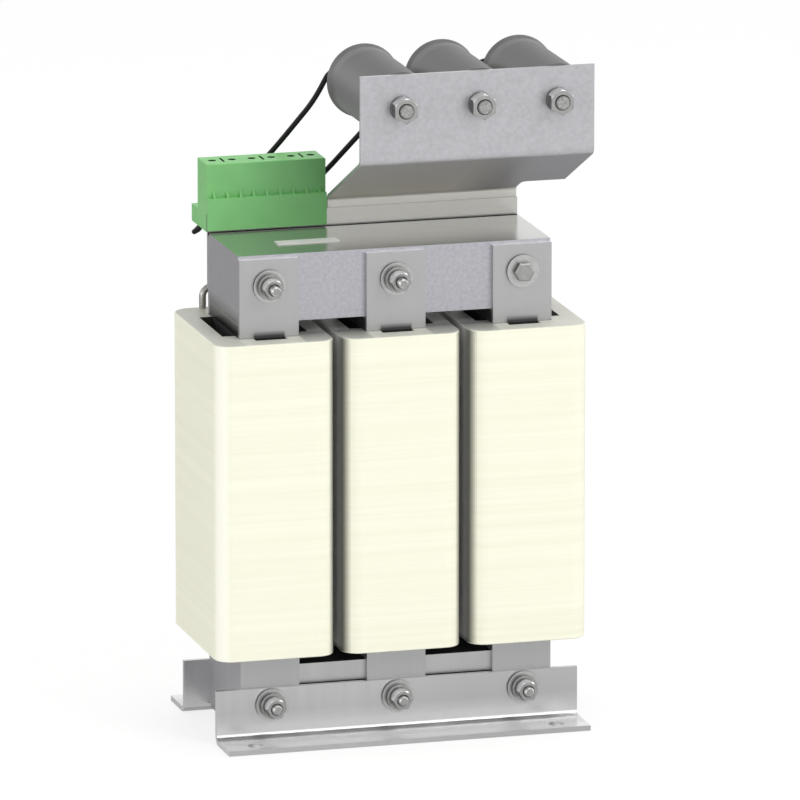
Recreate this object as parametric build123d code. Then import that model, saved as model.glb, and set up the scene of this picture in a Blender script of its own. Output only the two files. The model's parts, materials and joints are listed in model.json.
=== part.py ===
from build123d import *
import math
import os

os.makedirs("parts", exist_ok=True)

# A three-phase sine wave filter: three wound coils on an iron core, three round
# capacitors on a folded bracket, and a row of terminals behind the top yoke.
# Millimetres. X runs along the front, Y to the back, Z up. The origin is the
# centre of the four foot holes, on the plane that the feet stand on.

# Iron core
limb_width = 34.0
yoke_height = 38.3
core_depth = 62.4
core_lift = 3.4
air_gap = 1.5
core_bolt_hole = 8.6

# Coils
coil_height = 180.7
coil_side = 17.4
coil_front = 19.6
coil_gap = 4.4
coil_headroom = 8.0
coil_corner = 10.0
coil_edge = 1.0
coil_stand = 8.4
coil_clearance = 0.3
side_duct_width = 7.5
side_duct_depth = 50.0
end_duct_width = 18.2
end_duct_depth = 5.8

# Clamping strips and feet
strip_thickness = 3.0
strip_inset = 1.8
foot_overhang = 14.8
foot_leg = 30.6
foot_flange = 30.0
foot_thickness = 3.0
foot_bend = 2.5
foot_hole = 9.0
foot_hole_end = 17.5
foot_hole_edge = 8.5

# Yoke bolts and what lies under their heads and nuts
bolt_diameter = 6.0
bolt_clearance = 0.6
bolt_flats = 10.0
bolt_head_height = 4.0
nut_height = 5.3
top_bolt_drop = 17.0
low_bolt_rise = 17.6
top_bolt_proud = 4.7
low_bolt_proud = 2.6
bolt_point = 0.6
nut_sink = 0.5
hexagon_side_share = 0.8
hexagon_end_share = 0.5
large_washer_diameter = 18.5
large_washer_thickness = 1.6
spacer_washer_diameter = 14.6
spacer_washer_thickness = 2.9
lock_washer_diameter = 11.6
lock_washer_thickness = 2.0
lock_washer_split = 1.2
lock_washer_slant = 20.0
washer_clearance = 0.4
sleeve_wall = 0.9
sleeve_clearance = 0.2

# Terminal plate
plate_height = 42.2
plate_rise = 9.8
plate_thickness = 2.0

# Capacitor bracket, folded from one sheet
bracket_sheet = 2.0
bracket_gap = 1.8
bracket_reach = 68.6
bracket_above = 19.0
bracket_below = 31.4
shelf_drop = 32.3
flange_reach = 30.1
bracket_bend = 3.0
shoulder_back = 11.6
shoulder_corner = 3.0

# Capacitors
can_count = 3
can_gap = 2.7
can_margin_left = 24.1
can_margin_right = 21.1
can_rise = 78.8
can_diameter = 40.0
can_length = 79.2
can_edge = 0.8
rim_step = 1.2
rim_width = 4.5
rim_round = 0.8
rim_lip = 1.6
rim_slope = 0.6
lid_recess = 1.5
lid_thickness = 3.0
lid_clearance = 0.2
lid_boss_height = 0.6
lid_boss_step = 4.0
stud_diameter = 8.0
stud_clearance = 0.4
stud_proud = 1.6
stud_nut_flats = 13.0
stud_nut_height = 7.0
stud_nut_turn = 30.0
stud_lock_diameter = 14.2
stud_lock_thickness = 2.2

# Capacitor terminals and their insulated receptacles
hot_blade_x = -2.0
hot_blade_z = 10.0
hot_blade_angle = [198.1, 225.0, 193.9]
star_blade_x = 4.0
star_blade_z = -10.0
star_blade_angle = 270.0
blade_width = 6.3
blade_thickness = 0.8
blade_length = 7.0
boot_diameter = 7.0
boot_back = 4.5
boot_front = 9.5
boot_stand = 1.7
boot_edge = 0.8
boot_gap = 0.5
slot_clearance = 0.2
link_spacing = 3.4
link_dip = 11.0
link_sag = 19.0
link_spread = 3.5

# Terminal housing, moulded in one piece
terminal_overhang = 0.3
terminal_pitch = 7.62
terminal_ribs = 9
terminal_rise = 3.2
terminal_step = 3.4
base_depth = 31.9
base_height = 9.8
tower_depth = 20.85
tower_height = 35.5
collar_depth = 2.8
collar_height = 18.4
collar_drop = 2.0
neck_step = 2.1
neck_clearance = 0.2
notch_clearance = 0.2
rib_width = 1.3
rib_height = 3.6
pole_spread = 11.36
module_pitch = 22.86
pocket_width = 6.8
pocket_front = 4.35
pocket_depth = 12.6
pocket_height = 15.1
clamp_clearance = 0.2
clamp_lift = 3.1
access_diameter = 4.8
access_back = 10.5
module_slot_width = 1.4
module_slot_length = 10.6
module_slot_depth = 6.0
screw_head_diameter = 4.4
screw_head_height = 2.0
screw_shank_diameter = 3.0
screw_shank_length = 5.0
screw_tap_depth = 6.0
screw_slot = 0.8
lead_hole_clearance = 0.4
lead_hole_back = 25.8
lead_hole_depth = 7.0
lead_hole_shift = [-8.6, 0.0, 0.0]
edge_round = 0.6

# Winding leads: for each coil the start beside its middle as a share of its width,
# the row, the rise as a share of the room under the clamps, and the pole it serves
winding_lead_diameter = 4.0
winding_lead_bend = 5.0
winding_rows = {"rear": 2.8, "front": 9.8}
winding_shares = [
    [(-0.240, "rear", 0.240, 1), (-0.168, "front", 0.0, 0)],
    [(-0.363, "rear", 0.154, 3), (-0.458, "front", 0.154, 2)],
    [(-0.395, "rear", 0.276, 4), (-0.323, "front", 0.325, 5)],
]

# Capacitor leads: corners as shares of the way from the hole in the housing to the
# receptacle along X and Z, and from the receptacles to the leads' plane along Y
lead_diameter = 3.0
lead_stand = 3.7
lead_end_gap = 1.0
lead_dips = [3.0, 11.4, 11.4]
bend_share = 0.45
lead_shares = [
    [
        (0.911, 0.031, 0.972),
        (0.817, 0.256, 0.779),
        (0.514, 1.000, 0.368),
        (-0.003, 0.974, -0.085),
        (-0.037, 0.508, -0.062),
    ],
    [
        (0.802, 0.205, 0.776),
        (0.605, 0.487, 0.508),
        (0.428, 0.959, 0.239),
        (0.189, 1.021, 0.007),
        (0.013, 1.000, -0.133),
    ],
    [
        (0.901, 0.067, 0.968),
        (0.806, 0.308, 0.706),
        (0.625, 0.487, 0.371),
        (0.391, 0.718, 0.146),
        (0.184, 0.923, 0.018),
        (0.016, 1.000, -0.120),
    ],
]

# Rating plate, blank
label_inset = 29.3
label_length = 35.5
label_depth = 8.5
label_y = -4.3
label_thickness = 0.6

# How far a cutter runs past the face that it opens
past = 1.0

# Sizes and places worked out from the sizes above
coil_width = limb_width + 2 * coil_side
coil_depth = core_depth + 2 * coil_front
limb_pitch = coil_width + coil_gap
window_height = coil_stand + coil_height + coil_headroom
limb_x = [-limb_pitch, 0.0, limb_pitch]
core_width = 2 * limb_pitch + limb_width
core_front = core_depth / 2
window_bottom = core_lift + yoke_height
window_top = window_bottom + window_height
core_top = window_top + yoke_height
coil_bottom = window_bottom + coil_stand
coil_top = coil_bottom + coil_height
strip_face = core_front + strip_thickness
foot_face = strip_face + foot_thickness
foot_length = core_width + 2 * foot_overhang
foot_hole_x = foot_length / 2 - foot_hole_end
foot_hole_y = strip_face + foot_flange - foot_hole_edge
plate_top = core_top + plate_rise
plate_bottom = plate_top - plate_height
plate_back = strip_face + plate_thickness
bracket_back = plate_back + bracket_sheet
terminal_length = terminal_ribs * terminal_pitch
terminal_left = -core_width / 2 - terminal_overhang
terminal_right = terminal_left + terminal_length
terminal_centre = (terminal_left + terminal_right) / 2
terminal_seat = core_top + terminal_rise
terminal_base = terminal_seat - terminal_step
terminal_top = terminal_seat + tower_height
base_front = plate_back + notch_clearance
base_back = base_front + base_depth
access_y = strip_face + access_back
lead_hole_y = strip_face + lead_hole_back
bolt_rows = {"top": core_top - top_bolt_drop, "low": core_lift + low_bolt_rise}
bolt_hole = bolt_diameter + bolt_clearance
can_height = core_top + can_rise
rim_diameter = can_diameter + 2 * rim_step
can_pitch = rim_diameter + can_gap
bracket_left = terminal_right + bracket_gap
can_x = [bracket_left + can_margin_left + i * can_pitch for i in range(can_count)]
bracket_right = can_x[-1] + can_margin_right
bracket_front = plate_back - bracket_reach
bracket_top = can_height + bracket_above
bracket_fold = can_height - bracket_below
bracket_meet = bracket_fold - shelf_drop
bracket_bottom = core_top - flange_reach
plate_behind = bracket_front + bracket_sheet
can_end = plate_behind + can_length
lid_face = can_end - lid_recess
boot_y = lid_face + boot_stand + boot_diameter / 2
pole_x = [
    terminal_centre + module * module_pitch + side * pole_spread / 2
    for module in (-1, 0, 1)
    for side in (-1, 1)
]
pocket_y = (strip_face + pocket_front, strip_face + pocket_front + pocket_depth)
clamp_bottom = terminal_base + clamp_lift
clamp_top = terminal_base + pocket_height


def block(x, y, z):
    """Box between a low and a high limit along each axis."""
    size = [abs(high - low) for low, high in (x, y, z)]
    centre = [(low + high) / 2 for low, high in (x, y, z)]
    return Pos(*centre) * Box(*size)


def rod_y(x, z, diameter, y):
    """Round rod along Y between two limits."""
    centre = Pos(x, (y[0] + y[1]) / 2, z)
    return centre * Rot(90, 0, 0) * Cylinder(diameter / 2, abs(y[1] - y[0]))


def ring_y(x, z, outer, bore, y):
    """Flat ring along Y between two limits."""
    return rod_y(x, z, outer, y) - rod_y(x, z, bore, (y[0] - past, y[1] + past))


def hex_y(x, z, flats, y, turn=0.0):
    """Hexagon along Y with its corners turned down at both ends."""
    length = abs(y[1] - y[0])
    outline = Plane.XZ * RegularPolygon(flats / 2, 6, major_radius=False, rotation=turn)
    prism = extrude(outline, length / 2, both=True)
    corner = flats / math.sqrt(3)
    drop = corner - flats / 2
    turned = Rot(90, 0, 0) * Cylinder(corner, length)
    rims = turned.edges().filter_by(GeomType.CIRCLE)
    turned = chamfer(rims, drop * hexagon_end_share, drop * hexagon_side_share)
    return Pos(x, (y[0] + y[1]) / 2, z) * (prism & turned)


def nut_y(x, z, flats, bore, y, turn=0.0):
    """Hexagon nut with its bore sunk a little at both faces."""
    nut = hex_y(x, z, flats, y, turn) - rod_y(x, z, bore, (y[0] - past, y[1] + past))
    sink = Cone(bore / 2 + nut_sink, bore / 2, nut_sink)
    nut -= Pos(x, y[0] + nut_sink / 2, z) * Rot(-90, 0, 0) * sink
    nut -= Pos(x, y[1] - nut_sink / 2, z) * Rot(90, 0, 0) * sink
    return nut.solid()


def split_ring_y(x, z, outer, bore, y, split):
    """Spring lock washer: a ring with one slanting cut."""
    ring = ring_y(x, z, outer, bore, y)
    length = abs(y[1] - y[0])
    cut = Box(split, length * 3, outer)
    place = Pos(x, (y[0] + y[1]) / 2, z - outer / 2) * Rot(0, 0, lock_washer_slant)
    return ring - place * cut


def bend_radius(before, corner, after, share):
    """Largest arc that takes a share of the shorter run beside a corner."""
    into = Vector(*corner) - Vector(*before)
    out = Vector(*after) - Vector(*corner)
    half_turn = math.radians(into.get_angle(out)) / 2
    return share * min(into.length, out.length) / math.tan(half_turn)


def cord(points, diameter):
    """Round cord along straight runs joined by tangent arcs."""
    corners = zip(points, points[1:], points[2:])
    bends = [bend_radius(*three, bend_share) for three in corners]
    if bends:
        path = FilletPolyline(*points, radius=bends)
    else:
        path = Polyline(*points)
    section = Plane(path @ 0, z_dir=path % 0) * Circle(diameter / 2)
    return sweep(section, path=path), path, bends


def rod_route(points, diameter, radius):
    """Stiff rod bent to one radius."""
    path = FilletPolyline(*points, radius=radius) if len(points) > 2 else Polyline(*points)
    section = Plane(path @ 0, z_dir=path % 0) * Circle(diameter / 2)
    return sweep(section, path=path)


# Core


def bolt_bores(row):
    """Holes for the sleeved bolts of one yoke."""
    limits = (-core_depth, core_depth)
    return [rod_y(x, bolt_rows[row], core_bolt_hole, limits) for x in limb_x]


def core_lower():
    """Lower yoke with the three limbs standing on it."""
    outline = Pos(0, core_lift + yoke_height / 2) * Rectangle(core_width, yoke_height)
    limb_height = window_height - air_gap
    for x in limb_x:
        outline += Pos(x, window_bottom + limb_height / 2) * Rectangle(limb_width, limb_height)
    stack = extrude(Plane.XZ * outline, core_depth / 2, both=True)
    return stack - bolt_bores("low")


def core_top_yoke():
    """Upper yoke, laid across the limbs."""
    outline = Pos(0, window_top + yoke_height / 2) * Rectangle(core_width, yoke_height)
    stack = extrude(Plane.XZ * outline, core_depth / 2, both=True)
    return stack - bolt_bores("top")


def air_gap_spacers():
    """Insulating sheets between the limbs and the upper yoke."""
    sheets = []
    for x in limb_x:
        half = limb_width / 2
        z = (window_top - air_gap, window_top)
        sheets.append(block((x - half, x + half), (-core_front, core_front), z))
    return Compound(sheets)


# Coils


def coil(x):
    """Wound coil with its round corners and the cooling ducts beside the limb."""
    passage_width = limb_width + 2 * coil_clearance
    passage_depth = 2 * (strip_face + coil_clearance)
    opening = Rectangle(passage_width, passage_depth)
    opening += Rectangle(limb_width + 2 * side_duct_width, side_duct_depth)
    opening += Rectangle(end_duct_width, 2 * (strip_face + end_duct_depth))
    outline = RectangleRounded(coil_width, coil_depth, coil_corner)
    body = extrude(outline, coil_height)
    ends = body.faces().sort_by(Axis.Z)
    body = fillet(ends[0].edges() + ends[-1].edges(), coil_edge)
    return Pos(x, 0, coil_bottom) * (body - extrude(opening, coil_height))


# Clamping


def clamping_strip(x, side):
    """Flat strip down one face of a limb, clamped by a bolt in each yoke."""
    half = limb_width / 2
    z = (core_lift + strip_inset, core_top - strip_inset)
    strip = block((x - half, x + half), (side * core_front, side * strip_face), z)
    for row in bolt_rows.values():
        limits = (side * (core_front - past), side * (strip_face + past))
        strip -= rod_y(x, row, bolt_hole, limits)
    return strip


def foot(side):
    """Angle foot with its two mounting holes in the flange."""
    heel = strip_face
    line = FilletPolyline(
        (heel, foot_leg),
        (heel, 0),
        (heel + foot_flange, 0),
        radius=foot_bend + foot_thickness,
    )
    profile = make_face(offset(line, foot_thickness, side=Side.LEFT).edges())
    angle = extrude(Plane.YZ * profile, foot_length / 2, both=True)
    for x in limb_x:
        angle -= rod_y(x, bolt_rows["low"], bolt_hole, (heel - past, foot_face + past))
    for x in (-foot_hole_x, foot_hole_x):
        angle -= Pos(x, foot_hole_y, 0) * Cylinder(foot_hole / 2, foot_leg)
    return angle if side > 0 else mirror(angle, Plane.XZ)


def terminal_plate():
    """Flat plate behind the upper yoke, notched for the terminal housing."""
    half = core_width / 2
    through = (strip_face - past, plate_back + past)
    neck = terminal_neck_x()
    notch_x = (neck[0] - neck_clearance, neck[1] + neck_clearance)
    plate = block((-half, half), (strip_face, plate_back), (plate_bottom, plate_top))
    plate -= block(notch_x, through, (terminal_seat, plate_top + past))
    for x in limb_x:
        plate -= rod_y(x, bolt_rows["top"], bolt_hole, through)
    return plate


def terminal_neck_x():
    """Limits of the housing's neck, which stands in the plate's notch."""
    return (terminal_left + neck_step, terminal_right - neck_step)


def bracket_profile():
    """Folded section: upright front, sloping shelf and rear flange."""
    line = FilletPolyline(
        (bracket_front, bracket_top),
        (bracket_front, bracket_fold),
        (plate_back, bracket_meet),
        (plate_back, bracket_bottom),
        radius=[bracket_bend + bracket_sheet, bracket_bend],
    )
    return make_face(offset(line, bracket_sheet, side=Side.LEFT).edges())


def capacitor_bracket():
    """Folded sheet that carries the capacitors and is clamped at its rear flange."""
    length = bracket_right - bracket_left
    sheet = Pos(bracket_left, 0, 0) * extrude(Plane.YZ * bracket_profile(), length)
    # The shelf narrows to the width of the rear flange before the second fold.
    spare = block(
        (core_width / 2, bracket_right + past),
        (plate_back - shoulder_back, bracket_back + past),
        (bracket_bottom - past, bracket_top),
    )
    inner = spare.edges().filter_by(Axis.Z).sort_by(Axis.X)[:2].sort_by(Axis.Y)[0]
    sheet -= fillet(inner, shoulder_corner)
    stud_hole = stud_diameter + stud_clearance
    for x in can_x:
        sheet -= rod_y(x, can_height, stud_hole, (bracket_front - past, plate_behind + past))
    for x in limb_x:
        if x > bracket_left:
            limits = (plate_back - past, bracket_back + past)
            sheet -= rod_y(x, bolt_rows["top"], bolt_hole, limits)
    return sheet


# Yoke bolts


def seat(row, x, side):
    """Distance from the middle plane to the face that a washer sits on."""
    if row == "low":
        return foot_face
    if side < 0:
        return strip_face
    return bracket_back if x > bracket_left else plate_back


def nut_side(row, x):
    """All nuts are in front, except on the right-hand top bolt."""
    return 1 if row == "top" and x > 0 else -1


def stack(row, x, side, layers):
    """Limits along Y of each layer in turn, outwards from the seat."""
    start = seat(row, x, side)
    limits = []
    for thickness in layers:
        limits.append((side * start, side * (start + thickness)))
        start += thickness
    return limits


def nut_stack(row, x):
    """Limits of large washer, spacer washer, lock washer and nut."""
    layers = (
        large_washer_thickness,
        spacer_washer_thickness,
        lock_washer_thickness,
        nut_height,
    )
    return stack(row, x, nut_side(row, x), layers)


def head_stack(row, x):
    """Limits of large washer and bolt head."""
    return stack(row, x, -nut_side(row, x), (large_washer_thickness, bolt_head_height))


def ordered(limits):
    """Limits with the lower one first."""
    return (min(limits), max(limits))


def yoke_bolts(row, proud):
    """Bolts through one yoke, each with its hexagon head."""
    bolts = []
    for x in limb_x:
        z = bolt_rows[row]
        head = head_stack(row, x)[1]
        tip = nut_stack(row, x)[3][1] + nut_side(row, x) * proud
        shank = rod_y(x, z, bolt_diameter, ordered((head[0], tip)))
        end = shank.edges().filter_by(GeomType.CIRCLE).sort_by(Axis.Y)
        shank = chamfer(end[-1] if tip > 0 else end[0], bolt_point)
        bolts.append(shank + hex_y(x, z, bolt_flats, ordered(head)))
    return Compound([bolt.solid() for bolt in bolts])


def every_bolt():
    """Row and place of each yoke bolt."""
    return [(row, x) for row in bolt_rows for x in limb_x]


def bolt_sleeves():
    """Insulating tubes around the bolts inside the core."""
    bore = core_bolt_hole - sleeve_clearance - 2 * sleeve_wall
    outer = core_bolt_hole - sleeve_clearance
    limits = (-core_front, core_front)
    return Compound([ring_y(x, bolt_rows[row], outer, bore, limits) for row, x in every_bolt()])


def large_washers():
    """Washer under every head and nut."""
    bore = bolt_diameter + washer_clearance
    rings = []
    for row, x in every_bolt():
        for limits in (nut_stack(row, x)[0], head_stack(row, x)[0]):
            rings.append(ring_y(x, bolt_rows[row], large_washer_diameter, bore, ordered(limits)))
    return Compound(rings)


def spacer_washers():
    """Thick washer on the nut side of every bolt."""
    bore = bolt_diameter + washer_clearance
    rings = []
    for row, x in every_bolt():
        limits = ordered(nut_stack(row, x)[1])
        rings.append(ring_y(x, bolt_rows[row], spacer_washer_diameter, bore, limits))
    return Compound(rings)


def lock_washers():
    """Split spring washer under every nut."""
    bore = bolt_diameter + washer_clearance
    rings = []
    for row, x in every_bolt():
        limits = ordered(nut_stack(row, x)[2])
        z = bolt_rows[row]
        rings.append(split_ring_y(x, z, lock_washer_diameter, bore, limits, lock_washer_split))
    return Compound([ring.solid() for ring in rings])


def yoke_nuts():
    """Hexagon nut of every yoke bolt, its bore closed on the bolt."""
    nuts = []
    for row, x in every_bolt():
        limits = ordered(nut_stack(row, x)[3])
        nuts.append(nut_y(x, bolt_rows[row], bolt_flats, bolt_diameter, limits))
    return Compound(nuts)


# Terminals


def housing_profile():
    """Section of the housing: collar, neck, tower and rear base."""
    collar_top = terminal_seat - collar_drop + collar_height
    tower_back = strip_face + tower_depth
    base_top = terminal_base + base_height
    face = strip_face - notch_clearance
    points = [
        (face - collar_depth, terminal_seat - collar_drop),
        (face - collar_depth, collar_top),
        (face, collar_top),
        (face, terminal_top),
        (tower_back, terminal_top),
        (tower_back, base_top),
        (base_back, base_top),
        (base_back, terminal_base),
        (base_front, terminal_base),
        (base_front, terminal_seat),
        (face, terminal_seat),
        (face, terminal_seat - collar_drop),
    ]
    return make_face(Polyline(*points, close=True).edges())


def housing_ribs():
    """Gussets between the collar and the front of the tower."""
    bottom = terminal_seat - collar_drop + collar_height
    face = strip_face - notch_clearance
    corner = [(face, bottom), (face - collar_depth, bottom), (face, bottom + rib_height)]
    face_of_rib = Plane.YZ * make_face(Polyline(*corner, close=True).edges())
    gusset = extrude(face_of_rib, rib_width / 2, both=True)
    first = terminal_left + terminal_pitch / 2
    return [Pos(first + i * terminal_pitch, 0, 0) * gusset for i in range(terminal_ribs)]


def plate_slots():
    """Slots at both ends of the housing for the edges of the plate's notch."""
    neck = terminal_neck_x()
    y = (strip_face - notch_clearance, base_front)
    z = (terminal_base - past, plate_top + notch_clearance)
    left = block((terminal_left - past, neck[0]), y, z)
    right = block((neck[1], terminal_right + past), y, z)
    return [left, right]


def pole_pockets():
    """Pocket for a clamp over each pole, with its screwdriver hole."""
    cuts = []
    for x in pole_x:
        half = pocket_width / 2
        cuts.append(block((x - half, x + half), pocket_y, (terminal_base - past, clamp_top)))
        height = terminal_top - clamp_top + 2 * past
        middle = Pos(x, access_y, (terminal_top + clamp_top) / 2)
        cuts.append(middle * Cylinder(access_diameter / 2, height))
    return cuts


def module_slots():
    """Narrow slot along Y in the top, between the two poles of a module."""
    cuts = []
    for module in (-1, 0, 1):
        x = terminal_centre + module * module_pitch
        y = (access_y - module_slot_length / 2, access_y + module_slot_length / 2)
        z = (terminal_top - module_slot_depth, terminal_top + past)
        cuts.append(block((x - module_slot_width / 2, x + module_slot_width / 2), y, z))
    return cuts


def lead_hole_x():
    """Place along X of each capacitor lead's hole."""
    modules = [terminal_centre + i * module_pitch for i in (-1, 0, 1)]
    return [x + shift for x, shift in zip(modules, lead_hole_shift)]


def terminal_housing():
    """Moulded feed-through housing, seated in the notch of the plate."""
    body = extrude(Plane.YZ * housing_profile(), terminal_length)
    body = Pos(terminal_left, 0, 0) * body
    top = body.faces().sort_by(Axis.Z)[-1]
    body = fillet(top.edges(), edge_round)
    body += housing_ribs()
    body -= plate_slots()
    body -= pole_pockets()
    body -= module_slots()
    hole = Cylinder((lead_diameter + lead_hole_clearance) / 2, 2 * lead_hole_depth)
    for x in lead_hole_x():
        body -= Pos(x, lead_hole_y, terminal_base) * hole
    return body


def terminal_clamps():
    """Metal clamp in each pocket, tapped for its screw."""
    clamps = []
    tap = Cylinder(screw_shank_diameter / 2, 2 * screw_tap_depth)
    for x in pole_x:
        half = pocket_width / 2 - clamp_clearance
        y = (pocket_y[0] + clamp_clearance, pocket_y[1] - clamp_clearance)
        body = block((x - half, x + half), y, (clamp_bottom, clamp_top))
        body -= Pos(x, access_y, clamp_top) * tap
        clamps.append(body.solid())
    return Compound(clamps)


def terminal_screws():
    """Slotted clamp screws at the bottom of the screwdriver holes."""
    screws = []
    for x in pole_x:
        head = Pos(x, access_y, clamp_top + screw_head_height / 2)
        shank = Pos(x, access_y, clamp_top - screw_shank_length / 2)
        screw = head * Cylinder(screw_head_diameter / 2, screw_head_height)
        screw += shank * Cylinder(screw_shank_diameter / 2, screw_shank_length)
        cut = Pos(x, access_y, clamp_top + screw_head_height)
        screw -= cut * Box(2 * screw_head_diameter, screw_slot, screw_head_height)
        screws.append(screw.solid())
    return Compound(screws)


# Capacitors


def capacitor_can(x):
    """Sealed aluminium can with its rolled rim and the stud that holds it."""
    tip = bracket_front - stud_lock_thickness - stud_nut_height - stud_proud
    radius = can_diameter / 2
    rim = rim_diameter / 2
    recess = can_end - lid_recess - lid_thickness
    line = [
        (0, tip),
        (stud_diameter / 2 - bolt_point, tip),
        (stud_diameter / 2, tip + bolt_point),
        (stud_diameter / 2, plate_behind),
        (radius - can_edge, plate_behind),
        (radius, plate_behind + can_edge),
        (radius, can_end - rim_width),
        (rim, can_end - rim_round),
        (rim - rim_round, can_end),
        (rim - rim_lip, can_end),
        (rim - rim_lip - rim_slope, can_end - rim_slope),
        (rim - rim_lip - rim_slope, recess),
        (0, recess),
    ]
    section = Plane.XY * make_face(Polyline(*line, close=True).edges())
    return Pos(x, 0, can_height) * revolve(section, Axis.Y)


def lid_diameter():
    """The lid fills the mouth of the rolled rim."""
    return rim_diameter - 2 * (rim_lip + rim_slope + lid_clearance)


def capacitor_lid(x):
    """Moulded lid with a low round boss around the terminals."""
    back = lid_face - lid_boss_height
    disc = rod_y(x, can_height, lid_diameter(), (lid_face - lid_thickness, back))
    return disc + rod_y(x, can_height, lid_diameter() - 2 * lid_boss_step, (back, lid_face))


def blade_places(index):
    """Place and wire angle of the two blades on one lid."""
    x = can_x[index]
    hot = (x + hot_blade_x, can_height + hot_blade_z, hot_blade_angle[index])
    star = (x + star_blade_x, can_height + star_blade_z, star_blade_angle)
    return [hot, star]


def every_blade():
    """Place and wire angle of each blade in turn."""
    return [place for index in range(can_count) for place in blade_places(index)]


def along(place, distance, side=0.0):
    """Point beside a blade, out along its wire direction."""
    x, z, angle = place
    dx = math.cos(math.radians(angle))
    dz = math.sin(math.radians(angle))
    return (x + dx * distance - dz * side, boot_y, z + dz * distance + dx * side)


def turned_to(place, shape):
    """Turns a shape drawn along +X at the origin to a blade's direction."""
    x, z, angle = place
    return Pos(x, boot_y, z) * Rot(0, -angle, 0) * shape


def capacitor_blades():
    """Flat blades on the lids."""
    middle = lid_face + blade_length / 2 - boot_y
    blade = Pos(0, middle, 0) * Box(blade_width, blade_length, blade_thickness)
    return Compound([turned_to(place, blade) for place in every_blade()])


def lead_boots():
    """Insulated receptacle pushed onto each blade."""
    centre = Pos((boot_front - boot_back) / 2, 0, 0) * Rot(0, 90, 0)
    boot = centre * Cylinder(boot_diameter / 2, boot_back + boot_front)
    boot = chamfer(boot.edges().filter_by(GeomType.CIRCLE), boot_edge)
    slot_depth = blade_length - (boot_y - lid_face) + slot_clearance
    half_width = blade_width / 2 + slot_clearance
    half_thickness = blade_thickness / 2 + slot_clearance
    boot -= block(
        (-half_width, half_width),
        (-boot_diameter, slot_depth),
        (-half_thickness, half_thickness),
    )
    return Compound([turned_to(place, boot).solid() for place in every_blade()])


def capacitor_nuts():
    """Nut on each capacitor stud."""
    near = bracket_front - stud_lock_thickness
    limits = (near - stud_nut_height, near)
    nuts = [nut_y(x, can_height, stud_nut_flats, stud_diameter, limits, stud_nut_turn) for x in can_x]
    return Compound(nuts)


def capacitor_lock_washers():
    """Split spring washer under each capacitor nut."""
    limits = (bracket_front - stud_lock_thickness, bracket_front)
    bore = stud_diameter + washer_clearance
    rings = []
    for x in can_x:
        ring = split_ring_y(x, can_height, stud_lock_diameter, bore, limits, lock_washer_split)
        rings.append(ring.solid())
    return Compound(rings)


# Leads


def winding_lead(coil_x, start_share, row, rise_share, pole):
    """Bare copper rod from the top of a coil up into a clamp."""
    y = coil_depth / 2 - winding_rows[row]
    end_x = pole_x[pole]
    end = (end_x, y, clamp_bottom)
    if rise_share == 0:
        return rod_route([(end_x, y, coil_top), end], winding_lead_diameter, winding_lead_bend)
    x = coil_x + start_share * coil_width
    turn = coil_top + rise_share * (clamp_bottom - coil_top)
    points = [(x, y, coil_top), (x, y, turn), (end_x, y, turn), end]
    return rod_route(points, winding_lead_diameter, winding_lead_bend)


def coil_leads(index):
    """The two leads of one coil."""
    routes = winding_shares[index]
    return Compound([winding_lead(limb_x[index], *route) for route in routes])


def lead_points(index):
    """Route of a capacitor lead from its receptacle up into its hole."""
    start = along(blade_places(index)[0], boot_front + boot_gap)
    hole_x = lead_hole_x()[index]
    corners = []
    for share_x, share_y, share_z in lead_shares[index]:
        x = hole_x + share_x * (start[0] - hole_x)
        y = boot_y + share_y * (base_back + lead_stand - boot_y)
        corners.append((x, y, terminal_base + share_z * (start[2] - terminal_base)))
    below = (hole_x, lead_hole_y, terminal_base - lead_dips[index])
    end = (hole_x, lead_hole_y, terminal_base + lead_hole_depth - lead_end_gap)
    return [start] + corners + [below, end]


def star_points(index):
    """Route of a link between the star blades of two neighbours."""
    reach = boot_front + boot_gap
    start = along(blade_places(index)[1], reach, link_spacing / 2 if index else 0.0)
    end = along(blade_places(index + 1)[1], reach, 0.0 if index else -link_spacing / 2)
    return [
        start,
        (start[0] + link_spread, boot_y, start[2] - link_dip),
        ((start[0] + end[0]) / 2, boot_y, start[2] - link_sag),
        (end[0] - link_spread, boot_y, end[2] - link_dip),
        end,
    ]


def lead(points):
    """Capacitor lead or link, a held cord."""
    return cord(points, lead_diameter)[0]


# Small parts


def rating_plate():
    """Blank plate on top of the upper yoke."""
    y = (label_y - label_depth / 2, label_y + label_depth / 2)
    label_left = label_inset - core_width / 2
    x = (label_left, label_left + label_length)
    return block(x, y, (core_top, core_top + label_thickness))


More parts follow.
